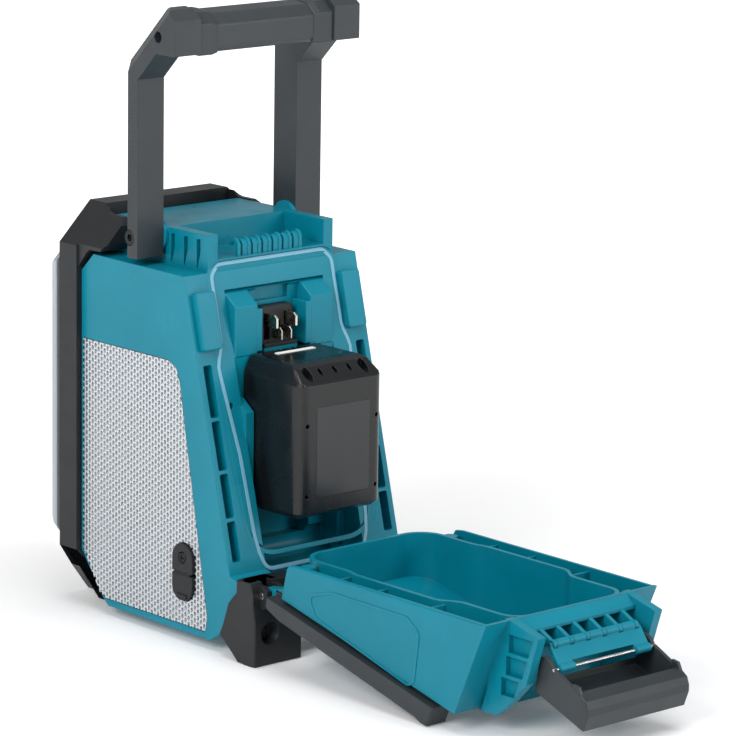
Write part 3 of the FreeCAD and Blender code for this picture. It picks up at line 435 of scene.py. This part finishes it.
def mirrored(pts, radii):
    """Outline and corner radii of a half shape, x over 0, with its mirror image."""
    return pts + [(-x, t) for x, t in reversed(pts)], radii + radii[::-1]


def seal():
    half = [(47, -5), (54, 2), (54.3, 47), (55.4, 52), (58, 59), (59.4, 64), (59, 70), (52.5, 125), (50.5, 180),
            (48.5, 193), (44, 205)]
    radii = [6, 8, 6, 6, 6, 6, 8, 20, 20, 14, 14]
    path = smooth_path(*mirrored(half, radii), 6)
    ring = band("bay_seal", offset_path(path, -SEAL_HALF_WIDTH), offset_path(path, SEAL_HALF_WIDTH),
                -0.8, SEAL_PROUD, "radio_body", RUBBER)
    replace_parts(ring, "gasket")
    groove = smooth_path([(57, -6.5), (60.5, 55), (60.5, 120), (56, 196), (-56, 196), (-60.5, 120), (-60.5, 55),
                          (-57, -6.5)], [12, 0, 0, 26, 26, 0, 0, 12])
    band("seal_seat", offset_path(groove, -0.3), offset_path(groove, 2.9), -1.4, -0.02, "radio_body", TEAL)


def posts_and_pads():
    chamfered = [(POST_ROOT_Y, POST_LOW_Z), (POST_FACE_Y, POST_LOW_Z), (POST_FACE_Y, 231.5), (25.7, 239.4),
                 (POST_ROOT_Y, 239.4)]
    step = [(POST_ROOT_Y, 198.5), (POST_FACE_Y, 198.5), (POST_FACE_Y, 228), (POST_ROOT_Y, 228)]
    ring = smooth_path([(57, 12), (73.5, 12), (73.5, 52), (57, 52)], [2.5] * 4, 4)
    for s, side in SIDES:
        name = "bay_post_" + side
        post_x = sorted((s * POST_IN, s * POST_OUT))
        step_x = sorted((s * POST_STEP_IN, s * POST_STEP_OUT))
        solid(name, across_x(chamfered, *post_x), "radio_body", TEAL, 0.8)
        solid(name + "_step", across_x(step, *step_x), "radio_body", TEAL, 0.5)
    for s, side in SIDES:
        rings = [[on_slope(s * x, t, h) for x, t in ring] for h in (-0.5, PAD_PROUD)]
        solid("flange_pad_" + side, rings, "radio_body", TEAL, 0.9)


def blades():
    wide, thin = 0.9, 0.5
    made = []
    for x, z0, z1, w in ((-8.6, 213, 222, wide), (8.6, 213, 222, wide), (-4.2, 204.5, 213, thin),
                         (4.2, 204.5, 213, thin)):
        pts = [(24, z0), (24, z1), (37, z1), (39.4, z1 - 2), (39.4, z0)]
        made.append(solid("blade_%d" % (len(made) + 1), across_x(pts, x - w, x + w), "radio_body", BLADE, 0.25))
    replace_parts(made[0], "terminal_blades")


def nose():
    loops = [facing_y(octagon(*shape), y) for shape, y in (
        ((82.2, 281.5, 14, 35.5, 41), TRIM_BACK_Y),
        ((79.4, 279.5, 16, 35, 40), TRIM_SHOULDER_Y),
        ((75.6, 276.0, 19.5, 34, 39), TRIM_TIP_Y),
        ((72.6, 273, 22.5, 33, 38), TRIM_TIP_Y),
        (TRIM_THROAT, TRIM_THROAT_Y),
        (TRIM_THROAT, TRIM_BACK_Y))]
    bm = skin(loops, closed=True)
    round_off(bm, 1.2, 3, sharp=0.3)
    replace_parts(show(bm, "silver_surround", "radio_body", SILVER), "front_trim")


def bumper():
    """The CAD frame with both lower corners cut off, as a copy."""
    source = nodes["front_bumper"]
    copy = bpy.data.objects.new("bumper_frame", source.data.copy())
    bpy.context.collection.objects.link(copy)
    copy.matrix_world = source.matrix_world.copy()
    inv = copy.matrix_world.inverted()
    bm = bmesh.new()
    bm.from_mesh(copy.data)
    for s, _ in SIDES:
        p = inv @ at(s * BUMPER_HALF, 0, CORNER_CUT_Z)
        low = inv @ at(s * CORNER_CUT_X, 0, 0)
        along = inv @ at(s * BUMPER_HALF, 50, CORNER_CUT_Z)
        n = (low - p).cross(along - p).normalized()
        outside = inv @ at(s * 200, 0, -50)
        if n.dot(outside - p) < 0:
            n = -n
        got = bmesh.ops.bisect_plane(bm, geom=bm.verts[:] + bm.edges[:] + bm.faces[:], plane_co=p, plane_no=n,
                                     clear_outer=True, dist=1e-6)
        edges = [e for e in got["geom_cut"] if isinstance(e, bmesh.types.BMEdge)]
        bmesh.ops.holes_fill(bm, edges=edges, sides=0)
    bm.to_mesh(copy.data)
    bm.free()
    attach(copy, "radio_body")
    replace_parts(copy, "front_bumper")


def pack():
    base = smooth_path([(-PACK_HALF, PACK_FRONT_Y), (PACK_HALF, PACK_FRONT_Y), (PACK_HALF, PACK_BACK_Y),
                        (-PACK_HALF, PACK_BACK_Y)], [1.5, 1.5, 9, 9])

    def level(narrower, z, back_in):
        return [at(x * (PACK_HALF - narrower) / PACK_HALF, min(y, PACK_BACK_Y - back_in), z) for x, y in base]
    # narrower on each side, height, how far the back is drawn in
    levels = ((3.5, PACK_LOW_Z, 7), (0, 97.0, 0), (0, 185.5, 0), (0.6, 187.5, 2.5), (4.5, 195.5, 13),
              (7.0, 197.4, 18), (9.0, PACK_TOP_Z, 24))
    case = solid("pack_case", [level(*v) for v in levels], "battery", PACK)
    cutters = []
    for x, r in ((-25, 3.4), (25, 3.4), (-13, 1.6), (0, 1.6), (13, 1.6)):
        hole = oblong(x, 192, r, 1.3 * r, 16)
        cutters.append(tool([facing_y(hole, 106), facing_y(hole, 84)]))
    for x in (-31, 31):
        for z in (109, 158):
            cutters.append(tool([disc(x, 99, z, 1.5), disc(x, 94, z, 1.5)]))
    for x in (-8.6, -4.2, 4.2, 8.6):
        cutters.append(tool(across_z(square(x - 1.4, x + 1.4, 36, 43.5), 178, 200)))
    cutters.append(tool(across_z(square(-6, 6, 30, 46), 85, 107.5)))
    cutters.append(tool(across_z(square(-17.4, 17.4, 46, 50.4), 196, 202)))
    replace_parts(carve(case, cutters), "battery_case")
    for s, side in SIDES:
        x0, x1 = sorted((s * 15.5, s * 22.8))
        solid("pack_rail_" + side, across_z(square(x0, x1, 24.4, 38.2), 104, 185), "battery", PACK, 0.5)
    plate = smooth_path([(-24.5, 107), (23, 107), (23, 170), (-24.5, 170)], [3] * 4, 4)
    solid("pack_plate", [facing_y(plate, 97.4), facing_y(plate, 98.15)], "battery", PLATE, 0.2)


def heels():
    profile = [(84.4, 57.6), (84.4, 48.5), (76, 39.7), (70.5, 24), (66.6, 15.6), (78, 7), (86, 0), (104.5, 0),
               (104.5, 30), (101, 50), (98, 57.6)]
    for s, side in SIDES:
        o = solid("heel_cheek_" + side, across_x(profile, *sorted((s * HEEL_IN, s * HEEL_OUT))), "radio_body",
                  BLACK, 1.0)
        dish = tool([disc(s * BOLT_X, 105.5, BOLT_Z, 8.4, 32), disc(s * BOLT_X, 97.5, BOLT_Z, 5.4, 32)])
        knuckle_gap = tool(across_z(square(s * 61.8, s * 72.4, 94, 118), 40.5, 62))
        carve(o, [dish, knuckle_gap])


def grip_collars():
    outer = [(-15.6, 402), (-14.4, 425.4), (-8.4, 432.3), (7.6, 430.6), (15.4, 423.4), (15.4, 402)]
    small = [(y * 0.94, 416 + (z - 416) * 0.93) for y, z in outer]
    stations = ((59.8, outer), (48.0, outer), (42.5, small))
    for s, side in SIDES:
        rings = [[at(s * x, y, z) for y, z in ring] for x, ring in stations]
        solid("grip_collar_" + side, rings, "handle", CHARCOAL, 0.8)


def door_forms():
    panel = smooth_path([(152, 61), (176, 68), (250, 67.5), (262, 59), (258, 25), (252, 21), (160, 46)],
                        [8, 10, 8, 6, 4, 6, 8], 5)
    inner = offset_path(panel, 1.6)
    for s, side in SIDES:
        x0, x1 = s * SIDE_FACE_IN, s * SIDE_FACE_OUT
        corners = ((panel, x0), (panel, x1), (inner, x1), (inner, x0))
        loops = [[at(x, y, z) for y, z in path] for path, x in corners]
        show(skin(loops, closed=True), "wall_moulding_" + side, "door", TEAL)
    web = [(320.5, 77.3), (323.3, 77.3), (331.5, 71.2), (331.5, 68.6), (322, 74.6)]
    solid("knuckle_web", across_x(web, -WEB_HALF, WEB_HALF), "door", TEAL, 0.3)


seal()
posts_and_pads()
blades()
nose()
bumper()
pack()
heels()
grip_collars()
door_forms()


FLOOR_REACH = 9.0
FLOOR_GLOW = (0.35, 2.2, 0.08, 0.9)  # from this far away to that far, and the glow at each, in metres
AMBIENT = 0.42
BACKDROP = 1.15
CAMERA_AT = Vector((1.8045, 1.9982, 0.7888))
LENS_MM = 201.22


def stage():
    m = Nodes("pale_floor")
    m.link(m.mix(m.noise(3, 2), (0.93, 0.93, 0.935, 1), (0.95, 0.95, 0.955, 1)), m.bsdf.inputs["Base Color"])
    m.bsdf.inputs["Roughness"].default_value = 0.55
    away = m.new("ShaderNodeVectorMath", operation="LENGTH")
    m.link(m.coord, away.inputs[0])
    m.bsdf.inputs["Emission Color"].default_value = (1, 1, 1, 1)
    m.link(m.ramp(away.outputs["Value"], *FLOOR_GLOW), m.bsdf.inputs["Emission Strength"])
    mesh = bpy.data.meshes.new("floor")
    r = FLOOR_REACH
    mesh.from_pydata([(-r, -r, 0), (r, -r, 0), (r, r, 0), (-r, r, 0)], [], [(0, 1, 2, 3)])
    mesh.materials.append(m.mat)
    floor = bpy.data.objects.new("floor", mesh)
    bpy.context.collection.objects.link(floor)
    floor.location.z = -0.0002


def area(name, where, target, size, power):
    """Square softbox at a place, in metres, turned to its target."""
    light = bpy.data.lights.new(name, "AREA")
    light.size = size
    light.energy = power
    o = bpy.data.objects.new(name, light)
    bpy.context.collection.objects.link(o)
    o.location = where
    o.rotation_euler = (Vector(target) - Vector(where)).to_track_quat("-Z", "Y").to_euler()


def lights():
    world = bpy.data.worlds.new("studio")
    bpy.context.scene.world = world
    world.use_nodes = True
    tree = world.node_tree
    back = tree.nodes["Background"]
    back.inputs["Color"].default_value = (1, 1, 1, 1)
    seen = tree.nodes.new("ShaderNodeLightPath")
    level = tree.nodes.new("ShaderNodeMapRange")
    level.inputs["To Min"].default_value = AMBIENT
    level.inputs["To Max"].default_value = BACKDROP
    tree.links.new(seen.outputs["Is Camera Ray"], level.inputs["Value"])
    tree.links.new(level.outputs["Result"], back.inputs["Strength"])
    area("key", (1.9, 0.5, 1.3), (0, 0, 0.2), 1.0, 32)
    area("rear", (-1.3, 2.4, 1.2), (0, 0.05, 0.1), 1.2, 30)
    area("top", (0.1, 0.3, 2.6), (0, 0, 0), 1.8, 34)


def camera():
    """The photograph's viewing angle, from its vanishing directions."""
    cam = bpy.data.cameras.new("camera")
    cam.lens = LENS_MM
    cam.sensor_width = 36
    cam.clip_end = 50
    o = bpy.data.objects.new("camera", cam)
    bpy.context.collection.objects.link(o)
    right = Vector((-0.74527, 0.66658, 0.01517))
    up = Vector((-0.13144, -0.16919, 0.97678))
    back = right.cross(up)
    turn = Matrix((right, up, back)).transposed().to_4x4()
    o.matrix_world = Matrix.Translation(CAMERA_AT) @ turn
    bpy.context.scene.camera = o


stage()
lights()
camera()
bpy.context.scene.view_settings.view_transform = "Standard"
